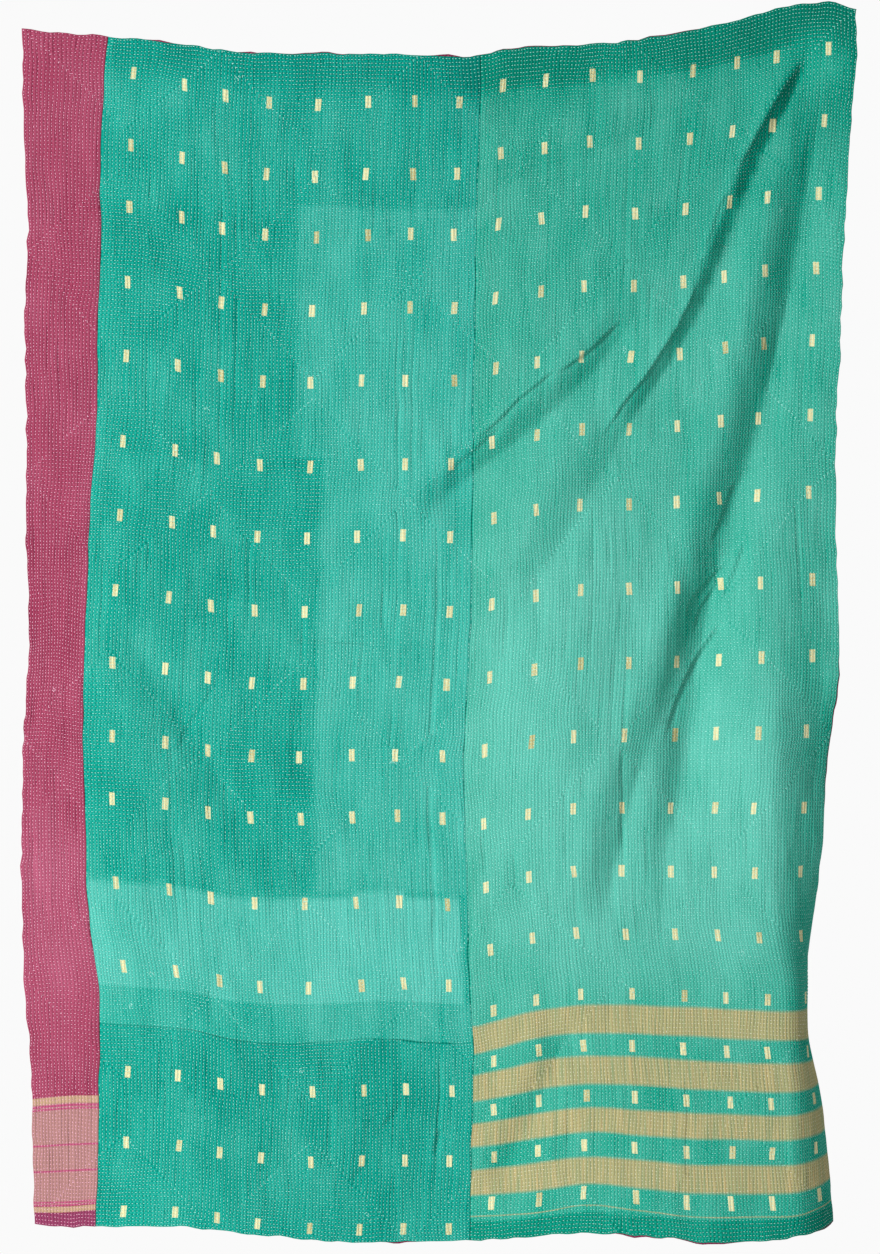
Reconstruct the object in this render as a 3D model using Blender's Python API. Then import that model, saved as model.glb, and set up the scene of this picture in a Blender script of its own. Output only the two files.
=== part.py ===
"""A kantha throw: four sari cloths pieced over one backing cloth, hanging by its two top corners.

Metres, +Z up. The face looks along -Y and the width runs along X. The origin is on the top edge,
half way between the corners, on the face. Every cloth is cut as a flat slab, u across the quilt and
v down it, and then hung: hang() sends a point of the flat quilt to its place on the folded sheet.
The tables are in millimetres.
"""

from collections import namedtuple

import bmesh
import bpy
import numpy as np

MM = 0.001

# The quilt laid flat.
WIDTH = 1524.0
LENGTH = 2134.0
SIDE_SEAM = 128.0  # u where the side strip meets the left panel
CENTRE_SEAM = 818.0  # u where the two large panels meet
PATCH_SEAM = 1770.0  # v where the lower left patch begins
FACE_THICKNESS = 1.4
BACK_THICKNESS = 1.3
CLEARANCE = 0.3  # between neighbouring cloths

# How many cells each cloth has across, and above and below the patch seam.
STRIP_CELLS = 3
LEFT_CELLS = 9
RIGHT_CELLS = 20
UPPER_CELLS = 44
LOWER_CELLS = 9

# The hems and the patch seam: heights at places across the quilt.
Level = namedtuple("Level", "u top patch_seam bottom")
LEVELS = (
    Level(0, 53, -1712, -2071),
    Level(70, 44, -1708, -2077),
    Level(128, 39, -1715, -2077),
    Level(200, 34, -1721, -2075),
    Level(290, 21, -1729, -2076),
    Level(385, 9, -1748, -2086),
    Level(480, 8, -1753, -2098),
    Level(570, 7, -1751, -2104),
    Level(670, 3, -1747, -2106),
    Level(740, 0, -1750, -2107),
    Level(818, 5, -1751, -2107),
    Level(860, 12, -1742, -2106),
    Level(940, 18, -1723, -2100),
    Level(1030, 27, -1713, -2088),
    Level(1130, 36, -1712, -2093),
    Level(1230, 54, -1715, -2102),
    Level(1320, 74, -1719, -2103),
    Level(1410, 92, -1723, -2100),
    Level(1470, 100, -1723, -2090),
    Level(1524, 89, -1722, -2080),
)

# The side edges and the long seams: places along X at heights down the quilt. The right edge is
# where it would be if it lay open, and tuck is how much the curl at that edge shortens it.
Side = namedtuple("Side", "z left side_seam centre_seam right tuck")
SIDES = (
    Side(50, -743, -592, 73, 741, 0),
    Side(-50, -741, -597, 73, 740, 0),
    Side(-200, -738, -603, 69, 727, 0),
    Side(-350, -734, -605, 66, 718, 0),
    Side(-500, -737, -608, 62, 713, 0),
    Side(-650, -736, -613, 59, 706, 0),
    Side(-800, -736, -621, 58, 703, 0),
    Side(-950, -733, -629, 57, 708, 0),
    Side(-1100, -735, -633, 51, 708, 0),
    Side(-1250, -741, -634, 43, 701, 9),
    Side(-1400, -745, -631, 44, 697, 11),
    Side(-1550, -743, -620, 51, 701, 32),
    Side(-1650, -740, -608, 54, 722, 62),
    Side(-1750, -733, -605, 58, 722, 59),
    Side(-1850, -727, -605, 60, 731, 46),
    Side(-1950, -724, -607, 57, 733, 36),
    Side(-2080, -722, -613, 53, 740, 32),
)
CURL_STARTS = 0.84  # share of the right panel's width that stays open
CURL_DEPTH = 0.92  # how far back the edge goes, for its tuck

# The main folds, as troughs. A path runs down the fold in (x, z). The sharp side is the upper left
# one, and the soft side slopes away over a longer distance.
Fold = namedtuple("Fold", "path depth sharp soft")
FOLDS = (
    Fold(  # from the right hand corner towards the middle
        ((672, 30), (625, -70), (571, -177), (517, -309), (466, -441), (413, -536), (353, -627),
         (300, -700)),
        depth=15, sharp=14, soft=62,
    ),
    Fold(  # its faint end, lower down
        ((345, -640), (284, -746), (208, -876), (121, -1028)),
        depth=9, sharp=38, soft=54,
    ),
    Fold(  # the crease that branches from it
        ((378, -420), (279, -552), (160, -664), (84, -722), (20, -772), (-40, -830)),
        depth=14, sharp=25, soft=46,
    ),
    Fold(  # from the corner down the right side
        ((690, 20), (664, -180), (638, -332), (609, -484), (566, -658), (532, -767), (498, -898),
         (479, -985), (458, -1094), (440, -1205), (427, -1312), (399, -1442), (390, -1640)),
        depth=24, sharp=34, soft=58,
    ),
    Fold(  # the hollow beside its lower half
        ((480, -900), (436, -1050), (349, -1290), (317, -1420), (280, -1570)),
        depth=12, sharp=30, soft=42,
    ),
    Fold(  # along the top edge, which is pulled tight between the hands
        ((719, 45), (523, -5), (349, -35), (175, -52), (-40, -58)),
        depth=19, sharp=36, soft=66,
    ),
    Fold(  # a slack one under it
        ((610, -27), (501, -71), (393, -114), (306, -158), (175, -202), (23, -267)),
        depth=9, sharp=36, soft=64,
    ),
    Fold(  # slack, down the left panel
        ((-586, -985), (-499, -1115), (-391, -1289), (-314, -1420)),
        depth=5, sharp=34, soft=44,
    ),
    Fold(  # below the middle, across the stripes
        ((240, -1700), (187, -1835), (133, -1942), (80, -2030)),
        depth=7, sharp=24, soft=40,
    ),
)
BED = 1.4  # a lower one makes a sharper crease at the bottom of a trough
LIP = 0.28  # height of the ridge beside a trough, as a share of its depth
FADE_IN = 0.16  # share of a path over which its trough deepens
FADE_OUT = 0.24  # and over which it runs out

# The slow waves of the sheet between its folds: negative depths come forward.
Swell = namedtuple("Swell", "x z half_width half_height depth")
SWELLS = (
    Swell(215, -1100, 120, 420, -16),
    Swell(585, -1150, 70, 420, -18),
    Swell(-250, -1050, 260, 620, 14),
    Swell(-560, -1250, 90, 420, -8),
    Swell(-420, -2060, 160, 330, -12),
    Swell(20, -2080, 150, 300, 12),
    Swell(420, -2090, 180, 260, -14),
    Swell(760, -20, 95, 170, 30),
)


def column(table, name):
    return np.array([getattr(row, name) for row in table], float)


def through(at, places, values):
    """A smooth curve through a table's rows, read at some places."""
    if places[0] > places[-1]:
        places, values = places[::-1], values[::-1]
    slopes = np.gradient(values, places)
    row = np.clip(np.searchsorted(places, at) - 1, 0, len(places) - 2)
    step = places[row + 1] - places[row]
    t = (at - places[row]) / step
    start, end = values[row], values[row + 1]
    rise_start, rise_end = slopes[row] * step, slopes[row + 1] * step
    return (
        start * (1 + 2 * t) * (1 - t) ** 2
        + rise_start * t * (1 - t) ** 2
        + end * t * t * (3 - 2 * t)
        + rise_end * t * t * (t - 1)
    )


def eased(t):
    t = np.clip(t, 0, 1)
    return t * t * (3 - 2 * t)


def height(u, v):
    """z of the hung quilt, from the hems and the patch seam."""
    top, patch_seam, bottom = (
        through(u, column(LEVELS, "u"), column(LEVELS, name))
        for name in ("top", "patch_seam", "bottom")
    )
    above = top + (patch_seam - top) * v / PATCH_SEAM
    below = patch_seam + (bottom - patch_seam) * (v - PATCH_SEAM) / (LENGTH - PATCH_SEAM)
    return np.where(v < PATCH_SEAM, above, below)


def fold_depth(fold, x, z):
    """How far one trough pushes the sheet back at (x, z)."""
    corners = np.array(fold.path, float)
    along = np.arange(len(corners), dtype=float)
    fine = np.linspace(0, len(corners) - 1, 5 * len(corners))
    line = np.column_stack([through(fine, along, corners[:, axis]) for axis in (0, 1)])
    nearest = np.full(x.shape, np.inf)
    offset, share = np.zeros(x.shape), np.zeros(x.shape)
    for i, (a, b) in enumerate(zip(line[:-1], line[1:])):
        run = b - a
        t = np.clip(((x - a[0]) * run[0] + (z - a[1]) * run[1]) / (run @ run), 0, 1)
        gap = np.hypot(x - a[0] - t * run[0], z - a[1] - t * run[1])
        side = np.sign(run[0] * (z - a[1]) - run[1] * (x - a[0]))
        closer = gap < nearest
        nearest = np.where(closer, gap, nearest)
        offset = np.where(closer, gap * side, offset)
        share = np.where(closer, (i + t) / (len(line) - 1), share)
    width = np.where(offset > 0, fold.soft, fold.sharp)
    trough = np.exp(-(np.abs(offset / width) ** BED))
    lip = LIP * np.exp(-((offset / fold.sharp + 1.9) ** 2))
    return fold.depth * (trough - lip) * eased(share / FADE_IN) * eased((1 - share) / FADE_OUT)


def face(u, v):
    """x, y and z of the quilt's face at flat places u, v."""
    z = height(u, v)
    heights = column(SIDES, "z")
    left, side_seam, centre_seam, right, tuck = (
        through(z, heights, column(SIDES, name))
        for name in ("left", "side_seam", "centre_seam", "right", "tuck")
    )
    in_strip = u / SIDE_SEAM
    in_left = (u - SIDE_SEAM) / (CENTRE_SEAM - SIDE_SEAM)
    in_right = (u - CENTRE_SEAM) / (WIDTH - CENTRE_SEAM)
    x = np.where(
        u < SIDE_SEAM,
        left + (side_seam - left) * in_strip,
        np.where(
            u < CENTRE_SEAM,
            side_seam + (centre_seam - side_seam) * in_left,
            centre_seam + (right - centre_seam) * in_right,
        ),
    )
    curl = np.clip((in_right - CURL_STARTS) / (1 - CURL_STARTS), 0, None)
    tuck = np.clip(tuck, 0, None)
    curled_length = (1 - CURL_STARTS) * (WIDTH - CENTRE_SEAM)
    x = x - tuck * curl**2
    y = CURL_DEPTH * np.sqrt(tuck * curled_length) * curl**1.5
    for fold in FOLDS:
        y = y + fold_depth(fold, x, z)
    for swell in SWELLS:
        away = ((x - swell.x) / swell.half_width) ** 2 + ((z - swell.z) / swell.half_height) ** 2
        y = y + swell.depth * np.exp(-away) * eased(-z / 120)
    return np.stack([x, y, z], axis=-1)


def hang(u, v, behind):
    """Places, in metres, of points that lie `behind` the face, square to the folded sheet."""
    reach = 2.0
    across = face(u + reach, v) - face(u - reach, v)
    down = face(u, v + reach) - face(u, v - reach)
    inwards = np.cross(across, down)
    inwards /= np.linalg.norm(inwards, axis=-1, keepdims=True)
    return (face(u, v) + inwards * behind[:, None]) * MM


def cloth(name, across, down, behind, thickness, colour):
    """A slab cut along the lines `across` and `down`, hung `behind` the quilt's face."""
    cut = bmesh.new()
    columns, rows = len(across) - 1, len(down) - 1
    bmesh.ops.create_grid(cut, x_segments=columns, y_segments=rows, size=0.5)
    bmesh.ops.triangulate(cut, faces=cut.faces[:], quad_method="FIXED")
    for vertex in cut.verts:
        i = round((vertex.co.x + 0.5) * columns)
        j = round((0.5 - vertex.co.y) * rows)
        vertex.co = (across[i], down[j], behind)
    lower = bmesh.ops.extrude_face_region(
        cut, geom=cut.faces[:] + cut.edges[:] + cut.verts[:], use_keep_orig=True
    )
    moved = [part for part in lower["geom"] if isinstance(part, bmesh.types.BMVert)]
    bmesh.ops.translate(cut, verts=moved, vec=(0, 0, thickness))
    bmesh.ops.recalc_face_normals(cut, faces=cut.faces[:])
    flat = np.array([vertex.co[:] for vertex in cut.verts])
    for vertex, place in zip(cut.verts, hang(flat[:, 0], flat[:, 1], flat[:, 2])):
        vertex.co = place
    mesh = bpy.data.meshes.new(name)
    cut.to_mesh(mesh)
    cut.free()
    mesh.shade_smooth()
    mesh.materials.append(dyed(name, colour))
    piece = bpy.data.objects.new(name, mesh)
    quilt.objects.link(piece)
    return piece


def dyed(name, colour):
    material = bpy.data.materials.new(name + "_cotton")
    material.use_nodes = True
    shader = material.node_tree.nodes["Principled BSDF"]
    shader.inputs["Base Color"].default_value = (*colour, 1)
    shader.inputs["Roughness"].default_value = 0.9
    shader.inputs["Metallic"].default_value = 0
    return material


def cut_lines(*runs):
    """Places of the cell lines over runs of (start, end, cells) that follow one another."""
    lines = [np.linspace(start, end, cells + 1) for start, end, cells in runs]
    return np.concatenate([lines[0]] + [line[1:] for line in lines[1:]])


def trimmed(lines, first, last):
    """The lines with their first and last ones moved in, to leave room for a neighbour."""
    lines = lines.copy()
    lines[0] += first
    lines[-1] -= last
    return lines


for old in list(bpy.data.objects):
    bpy.data.objects.remove(old)

quilt = bpy.data.collections.new("kantha_quilt")
bpy.context.scene.collection.children.link(quilt)

HALF_GAP = CLEARANCE / 2
strip_lines = cut_lines((0, SIDE_SEAM, STRIP_CELLS))
left_lines = cut_lines((SIDE_SEAM, CENTRE_SEAM, LEFT_CELLS))
right_lines = cut_lines((CENTRE_SEAM, WIDTH, RIGHT_CELLS))
upper_lines = cut_lines((0, PATCH_SEAM, UPPER_CELLS))
lower_lines = cut_lines((PATCH_SEAM, LENGTH, LOWER_CELLS))
all_across = np.concatenate([strip_lines, left_lines[1:], right_lines[1:]])
all_down = np.concatenate([upper_lines, lower_lines[1:]])

cloth("side_strip", trimmed(strip_lines, 0, HALF_GAP), all_down, 0, FACE_THICKNESS,
      (0.46, 0.05, 0.13))
cloth("left_panel", trimmed(left_lines, HALF_GAP, HALF_GAP), trimmed(upper_lines, 0, HALF_GAP),
      0, FACE_THICKNESS, (0.03, 0.40, 0.30))
cloth("lower_left_patch", trimmed(left_lines, HALF_GAP, HALF_GAP),
      trimmed(lower_lines, HALF_GAP, 0), 0, FACE_THICKNESS, (0.01, 0.37, 0.27))
cloth("right_panel", trimmed(right_lines, HALF_GAP, 0), all_down, 0, FACE_THICKNESS,
      (0.05, 0.43, 0.33))
cloth("back_cloth", all_across, all_down, FACE_THICKNESS + CLEARANCE, BACK_THICKNESS,
      (0.25, 0.03, 0.08))
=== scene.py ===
# %% [markdown]
# # A kantha throw, hung by its two top corners
# A kantha is a quilt of old saris: a few thin cotton cloths laid on one another and held together by
# thousands of hand-sewn running stitches. This one has a raspberry strip down its left side, two
# large green panels, a patch at the lower left and a maroon cloth behind. The CAD solids already
# hang in the right folds. Here each of them is replaced by a fine sheet that follows the same folds
# and adds the rows of quilting, the stitches, the woven motifs and the fading.
# The CAD parts are loaded first.

# %% Load the CAD parts
import math
from collections import namedtuple

import bmesh
import bpy
import numpy as np
from mathutils.bvhtree import BVHTree
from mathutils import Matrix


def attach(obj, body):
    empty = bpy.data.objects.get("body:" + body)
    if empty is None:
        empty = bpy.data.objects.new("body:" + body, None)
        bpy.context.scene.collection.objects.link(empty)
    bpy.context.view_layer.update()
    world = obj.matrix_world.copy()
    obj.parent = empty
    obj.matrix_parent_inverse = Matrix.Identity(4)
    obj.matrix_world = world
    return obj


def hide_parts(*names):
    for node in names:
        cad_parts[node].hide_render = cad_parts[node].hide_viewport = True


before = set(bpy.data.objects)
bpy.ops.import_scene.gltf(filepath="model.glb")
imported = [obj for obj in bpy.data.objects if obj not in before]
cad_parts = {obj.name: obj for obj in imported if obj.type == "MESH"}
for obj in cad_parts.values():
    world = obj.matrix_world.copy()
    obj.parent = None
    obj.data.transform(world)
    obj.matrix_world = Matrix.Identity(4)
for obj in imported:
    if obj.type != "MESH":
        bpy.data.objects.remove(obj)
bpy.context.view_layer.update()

MM = 0.001

# %% [markdown]
# ## The quilt laid flat
# Cloth is easiest to think of as it was cut and sewn: flat. All of the sewing is planned in two
# flat coordinates in millimetres, u across the quilt and v down it, and only at the end is each
# point moved to its place on the hanging sheet. So a stripe can be a plain range of v, however the
# cloth folds.

# %% Flat sizes
WIDTH, LENGTH = 1524.0, 2134.0
SIDE_SEAM = 128.0  # u where the side strip meets the left panel
CENTRE_SEAM = 818.0  # u where the two large panels meet
PATCH_SEAM = 1770.0  # v where the lower left patch begins
BACK_BEHIND = 1.7  # where the backing cloth begins, behind the face
BACK_THICKNESS = 1.3
print(f"flat size {WIDTH:.0f} x {LENGTH:.0f} mm, seams at u {SIDE_SEAM:.0f} and {CENTRE_SEAM:.0f}")

# %% [markdown]
# ## The hanging sheet
# Two hands hold the top corners, so the top edge sags between them, and long folds run from the
# right hand corner down into the cloth. These tables give the outline, the seams and the folds of
# the hanging sheet. They are the same tables as in the CAD source, so the fine cloth lies on the
# folds of its solid. A smooth curve is drawn through each column of a table.

# %% Tables of the hanging sheet
Level = namedtuple("Level", "u top patch_seam bottom")
LEVELS = (
    Level(0, 53, -1712, -2071),
    Level(70, 44, -1708, -2077),
    Level(128, 39, -1715, -2077),
    Level(200, 34, -1721, -2075),
    Level(290, 21, -1729, -2076),
    Level(385, 9, -1748, -2086),
    Level(480, 8, -1753, -2098),
    Level(570, 7, -1751, -2104),
    Level(670, 3, -1747, -2106),
    Level(740, 0, -1750, -2107),
    Level(818, 5, -1751, -2107),
    Level(860, 12, -1742, -2106),
    Level(940, 18, -1723, -2100),
    Level(1030, 27, -1713, -2088),
    Level(1130, 36, -1712, -2093),
    Level(1230, 54, -1715, -2102),
    Level(1320, 74, -1719, -2103),
    Level(1410, 92, -1723, -2100),
    Level(1470, 100, -1723, -2090),
    Level(1524, 89, -1722, -2080),
)

Side = namedtuple("Side", "z left side_seam centre_seam right tuck")
SIDES = (
    Side(50, -743, -592, 73, 741, 0),
    Side(-50, -741, -597, 73, 740, 0),
    Side(-200, -738, -603, 69, 727, 0),
    Side(-350, -734, -605, 66, 718, 0),
    Side(-500, -737, -608, 62, 713, 0),
    Side(-650, -736, -613, 59, 706, 0),
    Side(-800, -736, -621, 58, 703, 0),
    Side(-950, -733, -629, 57, 708, 0),
    Side(-1100, -735, -633, 51, 708, 0),
    Side(-1250, -741, -634, 43, 701, 9),
    Side(-1400, -745, -631, 44, 697, 11),
    Side(-1550, -743, -620, 51, 701, 32),
    Side(-1650, -740, -608, 54, 722, 62),
    Side(-1750, -733, -605, 58, 722, 59),
    Side(-1850, -727, -605, 60, 731, 46),
    Side(-1950, -724, -607, 57, 733, 36),
    Side(-2080, -722, -613, 53, 740, 32),
)
CURL_STARTS = 0.84  # where across the right panel its edge begins to curl back
CURL_DEPTH = 0.92

Fold = namedtuple("Fold", "path depth sharp soft")
FOLDS = (
    # from the right hand corner towards the middle, and its faint end lower down
    Fold(((672, 30), (625, -70), (571, -177), (517, -309), (466, -441), (413, -536), (353, -627),
          (300, -700)), depth=15, sharp=14, soft=62),
    Fold(((345, -640), (284, -746), (208, -876), (121, -1028)), depth=9, sharp=38, soft=54),
    # the crease that branches from it
    Fold(((378, -420), (279, -552), (160, -664), (84, -722), (20, -772), (-40, -830)),
         depth=14, sharp=25, soft=46),
    # from the corner down the right side, and the hollow beside its lower half
    Fold(((690, 20), (664, -180), (638, -332), (609, -484), (566, -658), (532, -767), (498, -898),
          (479, -985), (458, -1094), (440, -1205), (427, -1312), (399, -1442), (390, -1640)),
         depth=24, sharp=34, soft=58),
    Fold(((480, -900), (436, -1050), (349, -1290), (317, -1420), (280, -1570)),
         depth=12, sharp=30, soft=42),
    # along the top edge, which is pulled tight between the hands, and a slack one under it
    Fold(((719, 45), (523, -5), (349, -35), (175, -52), (-40, -58)), depth=19, sharp=36, soft=66),
    Fold(((610, -27), (501, -71), (393, -114), (306, -158), (175, -202), (23, -267)),
         depth=9, sharp=36, soft=64),
    # slack, down the left panel
    Fold(((-586, -985), (-499, -1115), (-391, -1289), (-314, -1420)), depth=5, sharp=34, soft=44),
    # below the middle, across the stripes
    Fold(((240, -1700), (187, -1835), (133, -1942), (80, -2030)), depth=7, sharp=24, soft=40),
)
LIP = 0.28  # how high the lip above a fold is, as a share of the fold's depth
LIP_PLACE = 1.9  # how far above the fold it lies, in widths of its steep side
BED = 1.4  # a lower one makes a sharper crease at the bottom of a fold
FADE_IN, FADE_OUT = 0.16, 0.24  # the shares of its path in which a fold deepens and dies away

Swell = namedtuple("Swell", "x z half_width half_height depth")
SWELLS = (  # wide hollows, and bulges where the depth is below 0
    Swell(215, -1100, 120, 420, -16),
    Swell(585, -1150, 70, 420, -18),
    Swell(-250, -1050, 260, 620, 14),
    Swell(-560, -1250, 90, 420, -8),
    Swell(-420, -2060, 160, 330, -12),
    Swell(20, -2080, 150, 300, 12),
    Swell(420, -2090, 180, 260, -14),
    Swell(760, -20, 95, 170, 30),
)
print(len(FOLDS), "main folds and", len(SWELLS), "slow swells")

# %% [markdown]
# The next functions turn the tables into a surface. A fold is a trough along a path: steep on its
# upper left side, with a small lip above it, and easy on the other side. Most of the sheet is far
# from any one fold, so each fold is worked out only for the points near it.

# %% From a flat place to its place on the hanging sheet
def column(table, name):
    return np.array([getattr(row, name) for row in table], float)


def through(at, places, values):
    """A smooth curve through a table's rows, read at some places."""
    if places[0] > places[-1]:
        places, values = places[::-1], values[::-1]
    slopes = np.gradient(values, places)
    row = np.clip(np.searchsorted(places, at) - 1, 0, len(places) - 2)
    step = places[row + 1] - places[row]
    t = (at - places[row]) / step
    start, end = values[row], values[row + 1]
    rise_start, rise_end = slopes[row] * step, slopes[row + 1] * step
    return (
        start * (1 + 2 * t) * (1 - t) ** 2
        + rise_start * t * (1 - t) ** 2
        + end * t * t * (3 - 2 * t)
        + rise_end * t * t * (t - 1)
    )


def eased(t):
    t = np.clip(t, 0, 1)
    return t * t * (3 - 2 * t)


def height(u, v):
    """z of the hung quilt, from the hems and the patch seam."""
    top, patch_seam, bottom = (
        through(u, column(LEVELS, "u"), column(LEVELS, name))
        for name in ("top", "patch_seam", "bottom")
    )
    above = top + (patch_seam - top) * v / PATCH_SEAM
    below = patch_seam + (bottom - patch_seam) * (v - PATCH_SEAM) / (LENGTH - PATCH_SEAM)
    return np.where(v < PATCH_SEAM, above, below)


def trough(fold, x, z):
    """How far one fold pushes the sheet back at (x, z)."""
    corners = np.array(fold.path, float)
    reach = 3 * max(fold.sharp, fold.soft)
    low, high = corners.min(axis=0) - reach, corners.max(axis=0) + reach
    near = (x > low[0]) & (x < high[0]) & (z > low[1]) & (z < high[1])
    all_x, x, z = x, x[near], z[near]
    along = np.arange(len(corners), dtype=float)
    fine = np.linspace(0, len(corners) - 1, 5 * len(corners))
    line = np.column_stack([through(fine, along, corners[:, axis]) for axis in (0, 1)])
    nearest = np.full(x.shape, np.inf)
    offset, share = np.zeros(x.shape), np.zeros(x.shape)
    for i, (a, b) in enumerate(zip(line[:-1], line[1:])):
        run = b - a
        t = np.clip(((x - a[0]) * run[0] + (z - a[1]) * run[1]) / (run @ run), 0, 1)
        gap = np.hypot(x - a[0] - t * run[0], z - a[1] - t * run[1])
        side = np.sign(run[0] * (z - a[1]) - run[1] * (x - a[0]))
        closer = gap < nearest
        nearest = np.where(closer, gap, nearest)
        offset = np.where(closer, gap * side, offset)
        share = np.where(closer, (i + t) / (len(line) - 1), share)
    width = np.where(offset > 0, fold.soft, fold.sharp)
    bed = np.exp(-(np.abs(offset / width) ** BED))
    lip = LIP * np.exp(-((offset / fold.sharp + LIP_PLACE) ** 2))
    depth = np.zeros(all_x.shape)
    depth[near] = (
        fold.depth * (bed - lip) * eased(share / FADE_IN) * eased((1 - share) / FADE_OUT)
    )
    return depth


def face(u, v):
    """x, y and z of the quilt's face at flat places u, v."""
    z = height(u, v)
    heights = column(SIDES, "z")
    left, side_seam, centre_seam, right, tuck = (
        through(z, heights, column(SIDES, name))
        for name in ("left", "side_seam", "centre_seam", "right", "tuck")
    )
    in_strip = u / SIDE_SEAM
    in_left = (u - SIDE_SEAM) / (CENTRE_SEAM - SIDE_SEAM)
    in_right = (u - CENTRE_SEAM) / (WIDTH - CENTRE_SEAM)
    x = np.select(
        [u < SIDE_SEAM, u < CENTRE_SEAM],
        [left + (side_seam - left) * in_strip, side_seam + (centre_seam - side_seam) * in_left],
        centre_seam + (right - centre_seam) * in_right,
    )
    curl = np.clip((in_right - CURL_STARTS) / (1 - CURL_STARTS), 0, None)
    tuck = np.clip(tuck, 0, None)
    curled_length = (1 - CURL_STARTS) * (WIDTH - CENTRE_SEAM)
    x = x - tuck * curl**2
    y = CURL_DEPTH * np.sqrt(tuck * curled_length) * curl**1.5
    for fold in FOLDS:
        y = y + trough(fold, x, z)
    for swell in SWELLS:
        away = ((x - swell.x) / swell.half_width) ** 2 + ((z - swell.z) / swell.half_height) ** 2
        y = y + swell.depth * np.exp(-away) * eased(-z / 120)
    return np.stack([x, y, z], axis=-1)


def unit(vectors):
    return vectors / np.linalg.norm(vectors, axis=-1, keepdims=True)


def lie_of_the_cloth(u, v):
    """Where a flat place hangs, and the directions there: across, down and into the quilt."""
    reach = 2.0
    across = unit(face(u + reach, v) - face(u - reach, v))
    down = unit(face(u, v + reach) - face(u, v - reach))
    return face(u, v), across, down, unit(np.cross(across, down))


middle = face(np.array([WIDTH / 2]), np.array([LENGTH / 2]))[0]
print("the middle of the quilt hangs at", np.round(middle, 1), "mm")

# %% [markdown]
# ## The quilting
# The stitcher worked in blocks. In each block the rows of running stitch follow its four sides and
# step inwards, one inside the next, down to a short line in the middle. A row pulls the cloth in, so
# it lies in a narrow groove between two soft ridges. Nothing made by hand is straight, so the rows
# wander by a millimetre, some grooves are deeper than others, and long pleats have set in the cloth.
# These functions say so in numbers, for the cloth and the stitches alike.

# %% Rows, pleats and seams in the flat cloth
ROW = 6.3  # from one row of stitches to the next
STITCH = 6.2  # from one stitch to the next, in a row
GROOVE = 1.9  # half the width of the groove that a row lies in
BLOCKS_ACROSS = (0, 340, 705, 1100, 1524)
BLOCKS_DOWN = (0, 400, 795, 1265, 1700, 2134)


def waves(u, v, length_u, length_v, seed):
    """Uneven smooth waves from about -1 to 1, of about these lengths."""
    draw = np.random.default_rng(seed)
    total = np.zeros(u.shape)
    for turn in np.arange(9) * math.pi / 9:
        turn = turn + draw.uniform(-0.15, 0.15)
        pace = 2 * math.pi * draw.uniform(0.7, 1.5)
        angle = pace * (math.cos(turn) * u / length_u + math.sin(turn) * v / length_v)
        total += np.sin(angle + draw.uniform(0, 2 * math.pi))
    return total / 3.2


def blocks():
    """The sides of each quilting block."""
    for u0, u1 in zip(BLOCKS_ACROSS[:-1], BLOCKS_ACROSS[1:]):
        for v0, v1 in zip(BLOCKS_DOWN[:-1], BLOCKS_DOWN[1:]):
            yield u0, u1, v0, v1


def in_block(at, edges):
    """How far a place is from the nearer side of its block, and half the block's size."""
    edges = np.array(edges, float)
    block = np.clip(np.searchsorted(edges, at, side="right") - 1, 0, len(edges) - 2)
    return np.minimum(at - edges[block], edges[block + 1] - at), np.diff(edges)[block] / 2


def fitted(room):
    """The distance from row to row with which they just fill a block."""
    return room / np.round(room / ROW)


def rows_in(u, v):
    """How many rows a place is from the nearest side of its quilting block."""
    across, half_width = in_block(u, BLOCKS_ACROSS)
    down, half_length = in_block(v, BLOCKS_DOWN)
    return np.minimum(across, down) / fitted(np.minimum(half_width, half_length))


def lag(u, v):
    """The stitches of neighbouring rows stand in line, but the lines drift by this much."""
    return 2.4 * waves(u, v, 150, 150, 33)


def edge_distance(u, v):
    return np.minimum(np.minimum(u, WIDTH - u), np.minimum(v, LENGTH - v))


def rounding(u, v):
    """0 inside the quilt, rising to 1 over the last 3.1 mm before its edge."""
    return np.clip(1 - edge_distance(u, v) / 3.1, 0, 1) ** 2


def wandered(u, v):
    """Where the hand really sewed what was meant for (u, v). The edges wander most."""
    loose = 1.4 * np.exp(-edge_distance(u, v) / 20) * waves(u, v, 55, 55, 34)
    return (
        u + 0.9 * waves(u, v, 110, 90, 1) + 1.8 * waves(u, v, 280, 330, 31) + loose,
        v + 0.9 * waves(u, v, 100, 120, 2) + 2.4 * waves(u, v, 300, 260, 32) + loose,
    )


Pleat = namedtuple("Pleat", "u start end width depth lean")
PLEATS = [
    Pleat(352, 180, 740, 3.0, 2.0, 10),
    Pleat(380, 200, 730, 3.0, 1.8, 10),
    Pleat(756, 722, 1760, 4.0, 2.2, 3),
    Pleat(554, 1750, 2060, 4.0, 1.4, 4),
    Pleat(756, 1780, 2060, 4.0, 1.6, 4),
    Pleat(1120, 1050, 1560, 4.0, 1.6, 8),
    Pleat(1450, 830, 1100, 3.0, 1.6, 4),
]
draw = np.random.default_rng(7)
for _ in range(150):
    start = draw.uniform(-60, LENGTH - 120)
    PLEATS.append(
        Pleat(
            draw.uniform(10, WIDTH - 10), start, start + draw.uniform(90, 420),
            draw.uniform(2.4, 4.0), draw.uniform(0.4, 1.3), draw.uniform(-6, 10),
        )
    )


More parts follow.
